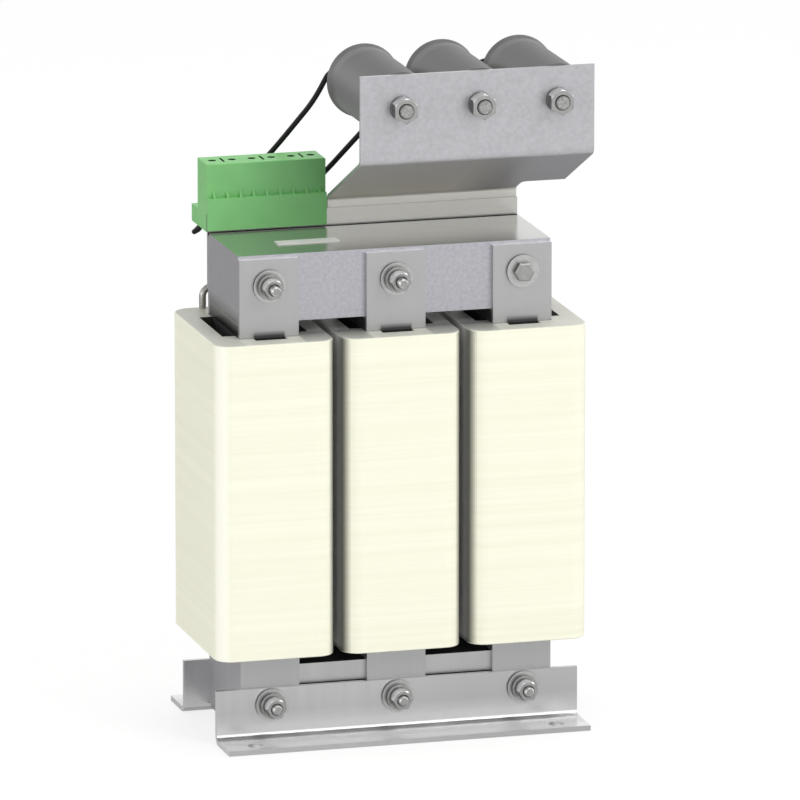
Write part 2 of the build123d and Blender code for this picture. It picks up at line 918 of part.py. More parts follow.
def all_nodes():
    """Every separate piece by its name."""
    nodes = {
        "core_lower": core_lower(),
        "core_top_yoke": core_top_yoke(),
        "air_gap_spacers": air_gap_spacers(),
        "front_foot": foot(-1),
        "rear_foot": foot(1),
        "terminal_plate": terminal_plate(),
        "capacitor_bracket": capacitor_bracket(),
        "top_bolts": yoke_bolts("top", top_bolt_proud),
        "lower_bolts": yoke_bolts("low", low_bolt_proud),
        "bolt_sleeves": bolt_sleeves(),
        "large_washers": large_washers(),
        "spacer_washers": spacer_washers(),
        "lock_washers": lock_washers(),
        "yoke_nuts": yoke_nuts(),
        "terminal_housing": terminal_housing(),
        "terminal_clamps": terminal_clamps(),
        "terminal_screws": terminal_screws(),
        "capacitor_blades": capacitor_blades(),
        "lead_boots": lead_boots(),
        "capacitor_nuts": capacitor_nuts(),
        "capacitor_lock_washers": capacitor_lock_washers(),
        "rating_plate": rating_plate(),
    }
    for index, (place, x) in enumerate(zip(("left", "centre", "right"), limb_x)):
        nodes[f"coil_{place}"] = coil(x)
        nodes[f"front_strip_{place}"] = clamping_strip(x, -1)
        nodes[f"rear_strip_{place}"] = clamping_strip(x, 1)
        nodes[f"coil_{place}_leads"] = coil_leads(index)
    for index, x in enumerate(can_x):
        nodes[f"capacitor_can_{index + 1}"] = capacitor_can(x)
        nodes[f"capacitor_lid_{index + 1}"] = capacitor_lid(x)
        nodes[f"capacitor_lead_{index + 1}"] = lead(lead_points(index))
    for index in range(can_count - 1):
        nodes[f"star_link_{index + 1}"] = lead(star_points(index))
    return nodes


def main():
    """Writes one file per piece."""
    for name, shape in all_nodes().items():
        export_step(shape, f"parts/{name}.step")


main()
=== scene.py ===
import json
import math

import bmesh
import bpy
from mathutils import Matrix, Vector


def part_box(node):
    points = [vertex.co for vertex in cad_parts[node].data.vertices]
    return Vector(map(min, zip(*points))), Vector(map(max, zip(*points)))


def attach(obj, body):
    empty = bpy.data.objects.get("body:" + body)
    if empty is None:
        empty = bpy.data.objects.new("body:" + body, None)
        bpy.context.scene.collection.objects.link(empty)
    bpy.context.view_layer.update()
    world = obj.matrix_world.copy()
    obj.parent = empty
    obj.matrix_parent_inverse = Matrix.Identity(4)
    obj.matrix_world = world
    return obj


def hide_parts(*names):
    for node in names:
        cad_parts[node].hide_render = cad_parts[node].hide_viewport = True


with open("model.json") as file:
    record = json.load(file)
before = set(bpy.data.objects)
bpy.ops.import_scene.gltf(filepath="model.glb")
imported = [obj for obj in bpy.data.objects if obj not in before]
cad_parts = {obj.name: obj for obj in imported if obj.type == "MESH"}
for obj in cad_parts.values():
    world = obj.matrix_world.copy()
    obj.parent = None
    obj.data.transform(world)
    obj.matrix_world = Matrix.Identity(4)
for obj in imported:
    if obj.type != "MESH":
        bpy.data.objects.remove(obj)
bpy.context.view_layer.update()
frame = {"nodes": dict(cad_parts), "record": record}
nodes = frame["nodes"]

MM = 0.001

# Camera, solved from the photograph: eye in metres, angles in degrees, lens and sensor in millimetres
CAMERA_EYE = (-1.67749, -5.98525, 1.64344)
CAMERA_AZIMUTH = -15.762
CAMERA_ELEVATION = 13.224
CAMERA_LENS = 512.6
CAMERA_SENSOR = 36.0
CAMERA_RANGE = 60.0

# Light: each lamp's place and side in metres and its power in watts, and the surround's strength by height
LAMP_TARGET = (0.0, 0.0, 0.2)
LAMPS = {
    "key": ((1.9, -2.7, 2.5), 1.3, 36.0),
    "left": ((-3.2, -1.0, 0.45), 1.0, 6.0),
    "top": ((0.3, 0.2, 3.0), 1.8, 20.0),
}
SURROUND_HEIGHTS = (0.25, 0.75)
SURROUND_STRENGTHS = (1.2, 0.45)

# Floor, in metres
FLOOR_HALF = 15.0
FLOOR_DROP = 0.0002
FLOOR_MIRRORED = (-0.25, 0.25)

# Threaded bolts: sizes in millimetres, steps around and rows per turn, and where the thread's painted shade
# and the chamfer's painted highlight sit among the bolt's looks
BOLT_DIAMETER = 6.0
BOLT_PITCH = 1.0
BOLT_THREAD_DEPTH = 0.55
BOLT_THREAD = 18.0
BOLT_CHAMFER = 1.0
BOLT_FLATS = 10.0
BOLT_HEAD_HEIGHT = 4.0
HEAD_BEVEL_SHARE = 0.6
HEAD_INSET = 0.1
SHANK_UNDERSIZE = 0.2
SHANK_OVERLAP = 0.5
WASHER_THICKNESS = 1.6
THREAD_STEPS = 36
THREAD_ROWS = 4
THREAD_SHADE_INDEX = 1
CHAMFER_HIGHLIGHT_INDEX = 2

# Places on the part that the looks go by, in millimetres, and half the width of a mask's edge there
MASK_EDGE = 0.1
LIMB_PITCH = 73.2
COIL_WIDTH = 68.8
COIL_DEPTH = 101.6
COIL_BOTTOM = 50.1
COIL_TOP = 230.8
YOKE_TOP = 277.1
YOKE_END = 90.2
YOKE_MARGIN = 2.0
LEDGE_HEIGHTS = (35.0, 60.0)
FOOT_THICKNESS = 3.0
FOOT_TOP = 30.6
FOOT_HOLE_X = 87.5
FOOT_HOLE_Y = 55.7
BRACKET_FRONT = -32.4
BRACKET_BACK = 33.0
STUD_END = -60.0
CAN_RIM = 43.0
TOWER_LEFT = -90.2
TOWER_RIGHT = -22.2
TOWER_FRONT = 34.2
TOWER_BACK = 55.05
TOWER_TOP = 315.8
TOWER_STEP = 297.0
TOWER_SIDE_WALL = 2.0
TOWER_WALL = 2.5
TOWER_SKIN = 0.3

# Where tones change along the part, most of them painted light and shade, in millimetres
STRIP_SHADE_SIDE = (8.5, 9.5)
STRIP_SHADE_FADE = (COIL_TOP + 1.0, COIL_TOP + 4.0)
LIMB_SHADE_FADE = (COIL_TOP + 1.7, COIL_TOP + 15.0)
FOOT_RIGHT = (0.0, 40.0)
FOOT_OUTER = (51.0, 58.0)
FOOT_LOW = (4.0, 17.0)
FOOT_HOLE_REACH = (4.8, 5.0)
BRACKET_FLANGE = (BRACKET_BACK, 36.0)
BRACKET_RIGHT = (50.0, 75.0)
COIL_END_DEEP = (19.0, 28.0)
COIL_END_OUTER = (-YOKE_END - 1.0, -YOKE_END)
COIL_LEFT_CORNER = (-102.0, -98.0)
GAP_DEPTH = (37.0, 44.0)
GAP_FOOT = (COIL_BOTTOM + 0.5, COIL_BOTTOM + 3.5)
GAP_ENDS = (96.0, 100.0)
BELOW_YOKE = (31.0, 34.0)
BEFORE_YOKE = (33.0, 52.0)
BESIDE_STRIP = (16.5, 18.0)
TOWER_BRACKET_SHADE = (-62.0, -22.0)
TOWER_UPPER = (-90.0, -22.0)
CAN_BODY = (CAN_RIM - 10.0, CAN_RIM - 2.0)

# Where the painted shade in a coil's passage ends, as a share of the coil's half width and depth
COIL_PASSAGE_SHADE = (0.84, 0.86)

# Looks of nodes that don't take their slot's
OWN_LOOKS = {
    "front_foot": "foot_steel",
    "rear_foot": "foot_steel",
    "terminal_plate": "plate_steel",
    "capacitor_nuts": "stud_nut_steel",
    "yoke_nuts": "nut_steel",
    "large_washers": "washer_steel",
}

# Broken edges: from which angle in degrees, and how wide in millimetres
EDGE_ANGLE = 50.0
EDGE_SEGMENTS = 2
BROKEN_EDGES = {
    "core_lower": 0.35,
    "core_top_yoke": 0.35,
    "terminal_plate": 0.2,
    "capacitor_bracket": 0.25,
    "front_foot": 0.3,
    "rear_foot": 0.3,
    "front_strip_left": 0.3,
    "front_strip_centre": 0.3,
    "front_strip_right": 0.3,
    "rating_plate": 0.15,
}


def colour(red, green, blue):
    """Linear colour from 8-bit screen values."""
    def linear(value):
        """Linear share of one channel."""
        value /= 255
        return value / 12.92 if value <= 0.04045 else ((value + 0.055) / 1.055) ** 2.4
    return (linear(red), linear(green), linear(blue), 1.0)


# Materials


class Tree:
    """Short way to build one material's nodes."""

    def __init__(self, name):
        """New material with its shader and the object coordinates at hand."""
        self.material = bpy.data.materials.new(name)
        self.material.use_nodes = True
        self.nodes = self.material.node_tree.nodes
        self.links = self.material.node_tree.links
        self.shader = self.nodes["Principled BSDF"]
        self.coordinates = self.nodes.new("ShaderNodeTexCoord")
        self.place = self.coordinates.outputs["Object"]

    def add(self, kind, settings=None, **inputs):
        """New node with its settings and its inputs set or linked."""
        node = self.nodes.new("ShaderNode" + kind)
        for key, value in (settings or {}).items():
            setattr(node, key, value)
        for key, value in inputs.items():
            self.feed(node, key.replace("_", " "), value)
        return node

    def feed(self, node, key, value):
        """Sets an input, or links it when the value is a socket."""
        target = node.inputs[int(key)] if key.isdigit() else node.inputs[key]
        if isinstance(value, bpy.types.NodeSocket):
            self.links.new(value, target)
        else:
            target.default_value = value

    def stretched(self, scale):
        """Object coordinates with their own scale along each axis."""
        node = self.add("Mapping", Vector=self.place, Scale=scale)
        return node.outputs["Vector"]

    def noise(self, scale, detail=3.0, roughness=0.55, vector=None):
        """Noise value at a scale per metre."""
        node = self.add(
            "TexNoise",
            Vector=vector or self.place,
            Scale=scale,
            Detail=detail,
            Roughness=roughness,
        )
        return node.outputs["Fac"]

    def cells(self, scale):
        """Random grey of each cell, at a scale per metre."""
        node = self.add("TexVoronoi", Vector=self.place, Scale=scale)
        split = self.add("SeparateColor", Color=node.outputs["Color"])
        return split.outputs["Red"]

    def bands(self, scale, direction):
        """Regular bands across one axis."""
        settings = {"wave_type": "BANDS", "bands_direction": direction, "wave_profile": "SIN"}
        return self.add("TexWave", settings, Vector=self.place, Scale=scale).outputs["Fac"]

    def remap(self, value, low, high, start=0.0, end=1.0):
        """Value between low and high, spread to start and end."""
        node = self.add("MapRange", {"clamp": True}, Value=value)
        node.inputs["From Min"].default_value = low
        node.inputs["From Max"].default_value = high
        node.inputs["To Min"].default_value = start
        node.inputs["To Max"].default_value = end
        return node.outputs["Result"]

    def ramp(self, place, span, start=0.0, end=1.0):
        """Place in metres, spread over a span in millimetres to start and end."""
        return self.remap(place, span[0] * MM, span[1] * MM, start, end)

    def math(self, operation, first, second=0.0):
        """One sum."""
        node = self.add("Math", {"operation": operation})
        self.feed(node, "0", first)
        self.feed(node, "1", second)
        return node.outputs["Value"]

    def mix(self, factor, first, second):
        """Blend of two colours."""
        node = self.add("Mix", {"data_type": "RGBA"})
        self.feed(node, "0", factor)
        self.feed(node, "6", first)
        self.feed(node, "7", second)
        return node.outputs[2]

    def along(self, axis):
        """Place along an axis in metres."""
        return self.add("SeparateXYZ", Vector=self.place).outputs[axis]

    def off_middle(self, axis):
        """Distance along an axis from the part's middle, in metres."""
        return self.math("ABSOLUTE", self.along(axis))

    def normal(self, axis):
        """How far the surface faces along an axis, from -1 to 1."""
        geometry = self.add("NewGeometry")
        return self.add("SeparateXYZ", Vector=geometry.outputs["True Normal"]).outputs[axis]

    def facing(self, axis):
        """1 where the surface faces along an axis, 0 where it doesn't."""
        return self.remap(self.math("ABSOLUTE", self.normal(axis)), 0.6, 0.8)

    def upright(self):
        """1 on walls, 0 where the surface faces up or down."""
        return self.math("SUBTRACT", 1.0, self.facing("Z"))

    def between(self, axis, low, high):
        """1 between two places along an axis, in millimetres."""
        place = self.along(axis)
        above = self.ramp(place, (low - MASK_EDGE, low + MASK_EDGE))
        below = self.ramp(place, (high - MASK_EDGE, high + MASK_EDGE), 1.0, 0.0)
        return self.both(above, below)

    def both(self, *shares):
        """Product of shares."""
        product = shares[0]
        for share in shares[1:]:
            product = self.math("MULTIPLY", product, share)
        return product

    def bump(self, height, distance, strength):
        """Bump from a height between 0 and 1, its distance in metres."""
        return self.add("Bump", Height=height, Distance=distance, Strength=strength).outputs["Normal"]

    def finish(self, base, roughness, metallic=0.0, normal=None, **constants):
        """Feeds the shader and gives the material."""
        self.feed(self.shader, "Base Color", base)
        self.feed(self.shader, "Roughness", roughness)
        self.feed(self.shader, "Metallic", metallic)
        if normal is not None:
            self.feed(self.shader, "Normal", normal)
        for key, value in constants.items():
            self.shader.inputs[key.replace("_", " ")].default_value = value
        return self.material


def spangle(tree):
    """Small mottles and faint crystals of galvanised sheet."""
    mottles = tree.both(tree.remap(tree.noise(420.0, 4.0, 0.6), 0.36, 0.64), 0.7)
    return tree.math("ADD", mottles, tree.both(tree.cells(170.0), 0.3))


def brushed(tree):
    """Upright hair lines with a few broad streaks."""
    fine = tree.noise(1.0, 3.0, 0.6, tree.stretched((1500.0, 1500.0, 12.0)))
    broad = tree.noise(1.0, 2.0, 0.5, tree.stretched((180.0, 180.0, 5.0)))
    return tree.remap(tree.math("ADD", fine, broad), 0.7, 1.3)


def clean(tree):
    """Slow change of tone of a smooth sheet."""
    return tree.remap(tree.noise(14.0, 2.0), 0.3, 0.7)


def off_limb(tree):
    """Distance along X from the nearest limb's centre, in metres."""
    x = tree.along("X")
    nearest = tree.math("ROUND", tree.math("DIVIDE", x, LIMB_PITCH * MM))
    return tree.math("ABSOLUTE", tree.math("SUBTRACT", x, tree.both(nearest, LIMB_PITCH * MM)))


def within_coil(tree):
    """1 on a strip inside a coil, where painted shade darkens it; just above, its middle fades to 0."""
    inside = tree.between("Z", COIL_BOTTOM, COIL_TOP + MASK_EDGE)
    fading = tree.ramp(tree.along("Z"), STRIP_SHADE_FADE, 0.9, 0.0)
    middle = tree.ramp(off_limb(tree), STRIP_SHADE_SIDE, 1.0, 0.0)
    above = tree.both(fading, middle, tree.between("Z", COIL_TOP, YOKE_TOP))
    return tree.math("MAXIMUM", inside, above)


def plate_foot(tree):
    """1 on the front of the terminal plate below the top of the yoke, where painted shade goes."""
    front = tree.remap(tree.normal("Y"), -0.8, -0.6, 1.0, 0.0)
    return tree.both(front, tree.between("Z", 0, YOKE_TOP))


def core_shade(tree):
    """1 on the core inside the coils and windows, on the lower yoke's top and behind the feet."""
    ledge = tree.both(tree.facing("Z"), tree.between("Z", *LEDGE_HEIGHTS))
    behind_foot = tree.both(tree.facing("Y"), tree.between("Z", 0, FOOT_TOP))
    inner_side = tree.both(
        tree.facing("X"),
        tree.between("Z", COIL_TOP, YOKE_TOP),
        tree.between("X", YOKE_MARGIN - YOKE_END, YOKE_END - YOKE_MARGIN),
    )
    hidden = tree.math("MAXIMUM", tree.between("Z", COIL_BOTTOM, COIL_TOP), inner_side)
    return tree.math("MAXIMUM", hidden, tree.math("MAXIMUM", ledge, behind_foot))


def shaded(tree, share, base, rough, metallic):
    """Base, roughness and metallic with painted shade, dull and dark, where the share is 1."""
    dark = tree.mix(share, base, colour(30, 30, 30))
    dull = tree.math("MAXIMUM", rough, tree.both(share, 0.9))
    metal = tree.remap(share, 0.0, 1.0, metallic, 0.0)
    return dark, dull, metal


def sheet_material(name, light, dark, roughness, metallic, pattern, shade, edge=None):
    """Bright sheet steel with its own pattern, painted shade where its shade mask is 1, and maybe a painted
    highlight on faces that face up.
    """
    tree = Tree(name)
    blend = pattern(tree)
    base = tree.mix(blend, dark, light)
    if edge:
        # painted highlight on the faces that face up
        base = tree.mix(tree.facing("Z"), base, edge)
    rough = tree.remap(blend, 0.0, 1.0, roughness + 0.01, roughness - 0.01)
    base, rough, metal = shaded(tree, shade(tree), base, rough, metallic)
    return tree.finish(base, rough, metal)


def foot_hole(tree):
    """1 on the walls of the foot holes."""
    share = tree.both(tree.upright(), tree.between("Z", 0, FOOT_THICKNESS))
    for axis, centre in (("X", FOOT_HOLE_X), ("Y", FOOT_HOLE_Y)):
        off_centre = tree.math("ABSOLUTE", tree.math("SUBTRACT", tree.off_middle(axis), centre * MM))
        share = tree.both(share, tree.ramp(off_centre, FOOT_HOLE_REACH, 1.0, 0.0))
    return share


def foot_material():
    """Foot steel with painted light: a painted reflection low on its front, paler sides and outer flat,
    painted shade towards the right of its front, a painted highlight along its bend, and painted light and
    shade on the walls of its holes.
    """
    tree = Tree("foot_steel")
    blend = brushed(tree)
    base = tree.mix(blend, colour(199, 199, 200), colour(206, 206, 207))
    # painted light on the sides
    base = tree.mix(tree.facing("X"), base, colour(215, 215, 217))
    # painted shade towards the right of the front
    right = tree.both(tree.facing("Y"), tree.ramp(tree.along("X"), FOOT_RIGHT))
    base = tree.mix(right, base, colour(196, 196, 196))
    # painted light on the outer part of the flat
    outer = tree.both(tree.facing("Z"), tree.ramp(tree.off_middle("Y"), FOOT_OUTER))
    base = tree.mix(outer, base, colour(221, 221, 221))
    # painted reflection low on the front
    low = tree.ramp(tree.along("Z"), FOOT_LOW, 1.0, 0.0)
    low = tree.both(tree.facing("Y"), low, tree.between("Z", FOOT_THICKNESS + 2 * MASK_EDGE, FOOT_TOP))
    base = tree.mix(low, base, colour(229, 229, 229))
    # painted highlight along the bend
    upward = tree.normal("Z")
    bend = tree.both(tree.remap(upward, 0.1, 0.25), tree.remap(upward, 0.4, 0.6, 1.0, 0.0))
    base = tree.mix(bend, base, colour(255, 255, 255))
    # painted light and shade on the walls of the holes
    tone = tree.mix(tree.remap(tree.normal("X"), -0.35, 0.3), colour(250, 250, 250), colour(178, 178, 180))
    base = tree.mix(foot_hole(tree), base, tone)
    rough = tree.remap(blend, 0.0, 1.0, 0.26, 0.22)
    return tree.finish(base, rough, 0.85)


def bracket_material():
    """Galvanised bracket with painted light: its flange against the plate and its top painted pale and a
    little warm, the top paler towards the back and painted darker towards the right.
    """
    tree = Tree("bracket_steel")
    blend = spangle(tree)
    base = tree.mix(blend, colour(183, 182, 186), colour(197, 196, 200))
    # painted light, pale and warm, on the flange against the plate
    flange = tree.both(tree.facing("Y"), tree.ramp(tree.along("Y"), BRACKET_FLANGE))
    base = tree.mix(flange, base, colour(213, 211, 205))
    # painted light on the top, paler towards the back, and painted shade towards the right
    back = tree.ramp(tree.along("Y"), (BRACKET_FRONT, BRACKET_BACK))
    shelf = tree.mix(back, colour(207, 206, 205), colour(226, 224, 215))
    shelf = tree.mix(tree.ramp(tree.along("X"), BRACKET_RIGHT), shelf, colour(170, 169, 173))
    base = tree.mix(tree.facing("Z"), base, shelf)
    rough = tree.remap(blend, 0.0, 1.0, 0.39, 0.33)
    normal = tree.bump(tree.noise(900.0, 2.0), 0.00002, 0.4)
    return tree.finish(base, rough, 0.7, normal)


def core_material():
    """Stack of coated sheets: faintly mottled faces, fine sheet edges on top and sides, shaded windows."""
    tree = Tree("core_steel")
    mottles = tree.remap(tree.noise(480.0, 4.0, 0.6), 0.36, 0.64)
    face = tree.mix(mottles, colour(178, 178, 184), colour(192, 192, 198))
    plain = tree.mix(brushed(tree), colour(192, 192, 193), colour(197, 197, 198))
    face = tree.mix(tree.between("Z", 0, COIL_BOTTOM), face, plain)
    lines = tree.stretched((6.0, 1500.0, 6.0))
    sheet = tree.remap(tree.noise(1.0, 2.0, 0.5, lines), 0.3, 0.7)
    side = tree.mix(sheet, colour(183, 182, 186), colour(190, 189, 193))
    shade = tree.ramp(tree.along("Z"), LIMB_SHADE_FADE, 1.0, 0.0)
    side = tree.mix(tree.both(shade, tree.between("Z", COIL_TOP, YOKE_TOP)), side, colour(42, 42, 41))
    top = tree.mix(sheet, colour(184, 184, 182), colour(192, 192, 190))
    upward = tree.facing("Z")
    front = tree.facing("Y")
    base = tree.mix(front, tree.mix(upward, side, top), face)
    groove = tree.bands(628.0, "Y")
    sides = tree.math("SUBTRACT", tree.math("SUBTRACT", 1.0, front), upward)
    normal = tree.bump(tree.both(groove, sides), 0.00003, 0.25)
    rough = tree.remap(upward, 0.0, 1.0, 0.38, 0.2)
    base, rough, metal = shaded(tree, core_shade(tree), base, rough, 0.85)
    return tree.finish(base, rough, metal, normal)


def coil_material():
    """Cream tape wound in level turns with dull ends; painted shade below the yoke, on the ends beyond it,
    in the passages, underneath and in the gaps between coils, a pale tone in place of it deep below the
    yoke, and a painted highlight on the left coil's outer corner.
    """
    tree = Tree("coil_tape")
    flat = tree.stretched((3.0, 3.0, 520.0))
    turns = tree.remap(tree.noise(1.0, 3.0, 0.6, flat), 0.3, 0.7)
    broad = tree.remap(tree.noise(1.0, 2.0, 0.5, tree.stretched((2.0, 2.0, 120.0))), 0.3, 0.7)
    tone = tree.math("ADD", tree.both(turns, 0.5), tree.both(broad, 0.5))
    side = tree.mix(tone, colour(240, 239, 217), colour(249, 248, 229))
    grain = tree.remap(tree.noise(700.0, 3.0, 0.6), 0.3, 0.7)
    end = tree.mix(grain, colour(214, 214, 201), colour(228, 228, 215))
    # painted shade below the yoke
    end = tree.mix(under_yoke(tree), end, colour(150, 150, 148))
    # deep below the yoke a pale tone takes the place of the painted shade
    deep = tree.ramp(tree.off_middle("Y"), COIL_END_DEEP, 1.0, 0.0)
    end = tree.mix(tree.both(deep, tree.between("X", -YOKE_END, YOKE_END)), end, colour(226, 226, 224))
    # painted shade on the ends beyond the yoke
    end = tree.mix(tree.ramp(tree.along("X"), COIL_END_OUTER, 0.45, 0.0), end, colour(176, 177, 168))
    # painted highlight on the left coil's outer corner
    corner = tree.both(*(tree.math("ABSOLUTE", tree.normal(axis)) for axis in "XY"))
    corner = tree.both(tree.remap(corner, 0.2, 0.45), tree.ramp(tree.along("X"), COIL_LEFT_CORNER, 1.0, 0.0))
    side = tree.mix(corner, side, colour(255, 254, 240))
    base = tree.mix(tree.facing("Z"), side, end)
    # painted shade on the walls of the passages
    base = tree.mix(inner_wall(tree), base, colour(52, 51, 47))
    # painted shade on the underside
    base = tree.mix(facing_down(tree), base, colour(40, 40, 38))
    # painted shade on the walls between coils, darker towards their front and back and darkest at their foot
    depth = tree.ramp(tree.off_middle("Y"), GAP_DEPTH)
    grey = tree.mix(depth, colour(205, 205, 203), colour(94, 94, 89))
    base = tree.mix(coil_gap_wall(tree, 0.58, 0.96), base, grey)
    low = tree.ramp(tree.along("Z"), GAP_FOOT, 1.0, 0.0)
    base = tree.mix(tree.both(coil_gap_wall(tree, 0.85, 0.98), low), base, colour(20, 20, 19))
    ridge = tree.math("ADD", turns, tree.both(tree.noise(1400.0, 2.0), 0.3))
    normal = tree.bump(ridge, 0.00012, 0.4)
    return tree.finish(base, 0.4, 0.0, normal, Specular_IOR_Level=0.5)


def under_yoke(tree):
    """How shaded a coil's top is: 1 below the yoke, less in front of the windows."""
    deep = tree.off_middle("Y")
    below = tree.ramp(deep, BELOW_YOKE, 1.0, 0.0)
    before = tree.ramp(deep, BEFORE_YOKE, 0.85, 0.3)
    beside = tree.ramp(off_limb(tree), BESIDE_STRIP)
    share = tree.math("MAXIMUM", below, tree.both(before, beside))
    return tree.both(share, tree.between("X", -YOKE_END, YOKE_END))


def inner_wall(tree):
    """1 on the walls in the passage of a coil, where painted shade goes."""
    across = tree.math("DIVIDE", off_limb(tree), COIL_WIDTH * MM / 2)
    deep = tree.math("DIVIDE", tree.off_middle("Y"), COIL_DEPTH * MM / 2)
    return tree.both(tree.remap(tree.math("MAXIMUM", across, deep), *COIL_PASSAGE_SHADE, 1.0, 0.0), tree.upright())


def facing_down(tree):
    """1 on surfaces that face the floor."""
    return tree.remap(tree.normal("Z"), -0.95, -0.8, 1.0, 0.0)


def coil_gap_wall(tree, start, end):
    """High on walls between coils that face sideways, 0 on the outermost walls."""
    sideways = tree.remap(tree.math("ABSOLUTE", tree.normal("X")), start, end)
    return tree.both(tree.ramp(tree.off_middle("X"), GAP_ENDS, 0.95, 0.0), sideways)


def moulded_material(name, light, dark, roughness):
    """Moulded plastic with a fine grain and a slow change of tone."""
    tree = Tree(name)
    tone = tree.remap(tree.noise(60.0, 2.0), 0.3, 0.7)
    base = tree.mix(tone, dark, light)
    rough = tree.remap(tree.noise(220.0, 2.0), 0.3, 0.7, roughness - 0.05, roughness + 0.06)
    normal = tree.bump(tree.noise(1500.0, 2.0), 0.00003, 0.4)
    return tree.finish(base, rough, 0.0, normal, Specular_IOR_Level=0.45)


def terminal_material():
    """Green moulding with painted light on its top, painted shade inside its holes, and its front painted a
    little darker towards the bracket and above.
    """
    tree = Tree("terminal_green")
    tone = tree.remap(tree.noise(60.0, 2.0), 0.3, 0.7)
    base = tree.mix(tone, colour(120, 188, 115), colour(126, 195, 121))
    # painted light on the top
    base = tree.mix(tree.facing("Z"), base, colour(122, 204, 114))
    # painted shade on the front towards the bracket
    front = tree.facing("Y")
    bracket_shade = tree.both(tree.ramp(tree.along("X"), TOWER_BRACKET_SHADE), front, 0.55)
    base = tree.mix(bracket_shade, base, colour(84, 140, 82))
    # painted shade on the upper front
    upper = tree.both(tree.ramp(tree.along("X"), TOWER_UPPER), front, 0.3)
    base = tree.mix(tree.both(upper, tree.between("Z", TOWER_STEP, TOWER_TOP)), base, colour(84, 140, 82))
    # painted shade inside the holes
    inside = tree.both(
        tree.between("X", TOWER_LEFT + TOWER_SIDE_WALL, TOWER_RIGHT - TOWER_SIDE_WALL),
        tree.between("Y", TOWER_FRONT + TOWER_WALL, TOWER_BACK - TOWER_WALL),
        tree.between("Z", YOKE_TOP, TOWER_TOP - TOWER_SKIN),
    )
    base = tree.mix(inside, base, colour(24, 36, 24))
    rough = tree.remap(tree.noise(220.0, 2.0), 0.3, 0.7, 0.37, 0.46)
    normal = tree.bump(tree.noise(1500.0, 2.0), 0.00002, 0.3)
    return tree.finish(base, rough, 0.0, normal, Specular_IOR_Level=0.45)


def fastener_material(name, flat, end, crown=None):
    """Zinc plating with painted light: ends painted brighter than flats, painted shade on flats at the left,
    and a painted highlight on upper chamfers.
    """
    tree = Tree(name)
    patches = tree.remap(tree.noise(350.0, 3.0), 0.35, 0.65)
    flats = tree.mix(patches, colour(flat - 8, flat - 8, flat - 9), colour(flat + 8, flat + 8, flat + 7))
    ends = tree.mix(patches, colour(end - 6, end - 6, end - 7), colour(end + 6, end + 6, end + 5))
    # painted shade on the flats that face left
    left = tree.remap(tree.normal("X"), -0.8, -0.2, 0.75, 0.0)
    flats = tree.mix(left, flats, colour(70, 70, 69))
    # painted light: ends brighter than flats
    base = tree.mix(tree.facing("Y"), flats, ends)
    # painted highlight on upper chamfers
    if crown:
        slanted = tree.remap(tree.math("ABSOLUTE", tree.normal("Y")), 0.96, 0.98, 1.0, 0.0)
        upper = tree.both(tree.remap(tree.normal("Z"), 0.15, 0.35), slanted)
        base = tree.mix(upper, base, colour(crown, crown, crown))
    rough = tree.remap(patches, 0.0, 1.0, 0.38, 0.3)
    normal = tree.bump(tree.noise(1.0, 2.0, 0.5, tree.stretched((400.0, 2500.0, 400.0))), 0.00003, 0.4)
    return tree.finish(base, rough, 0.95, normal)


def can_material():
    """Drawn aluminium with faint rings; painted light low on the body and painted shade on top of it, and
    the stud's thread with painted shade and its end.
    """
    tree = Tree("can_aluminium")
    rings = tree.remap(tree.noise(1.0, 3.0, 0.6, tree.stretched((15.0, 900.0, 15.0))), 0.3, 0.7)
    base = tree.mix(rings, colour(112, 112, 112), colour(117, 117, 117))
    upward = tree.add("SeparateXYZ", Vector=tree.add("NewGeometry").outputs["Normal"]).outputs["Z"]
    body = tree.ramp(tree.along("Y"), CAN_BODY, 1.0, 0.0)
    top = tree.both(body, tree.remap(upward, -0.4, 1.0))
    # painted light on the body, away from the band by the rim
    base = tree.mix(body, base, colour(131, 131, 131))
    # painted shade on the top of the body
    base = tree.mix(top, base, colour(88, 88, 88))
    speck = tree.remap(tree.noise(1100.0, 2.0), 0.35, 0.65)
    end = tree.mix(speck, colour(136, 136, 135), colour(176, 176, 175))
    # painted shade on the stud's thread
    stud = tree.mix(tree.facing("Y"), colour(90, 90, 90), end)
    base = tree.mix(tree.between("Y", STUD_END, BRACKET_FRONT), base, stud)
    rough = tree.remap(rings, 0.0, 1.0, 0.46, 0.42)
    normal = tree.bump(rings, 0.00001, 0.3)
    return tree.finish(base, rough, 0.4, normal)


def wire_material():
    """Black flexible insulation."""
    tree = Tree("black_wire")
    tone = tree.remap(tree.noise(260.0, 2.0), 0.3, 0.7)
    base = tree.mix(tone, colour(6, 6, 7), colour(12, 12, 13))
    normal = tree.bump(tree.noise(900.0, 2.0), 0.00004, 0.5)
    return tree.finish(base, 0.5, 0.0, normal, Specular_IOR_Level=0.3)


def bare_lead_material():
    """Tinned copper rod, a little warm."""
    tree = Tree("bare_lead")
    tone = tree.remap(tree.noise(300.0, 3.0), 0.35, 0.65)
    base = tree.mix(tone, colour(150, 146, 140), colour(196, 193, 188))
    rough = tree.remap(tone, 0.0, 1.0, 0.4, 0.26)
    normal = tree.bump(tree.noise(800.0, 2.0), 0.00004, 0.5)
    return tree.finish(base, rough, 0.95, normal)


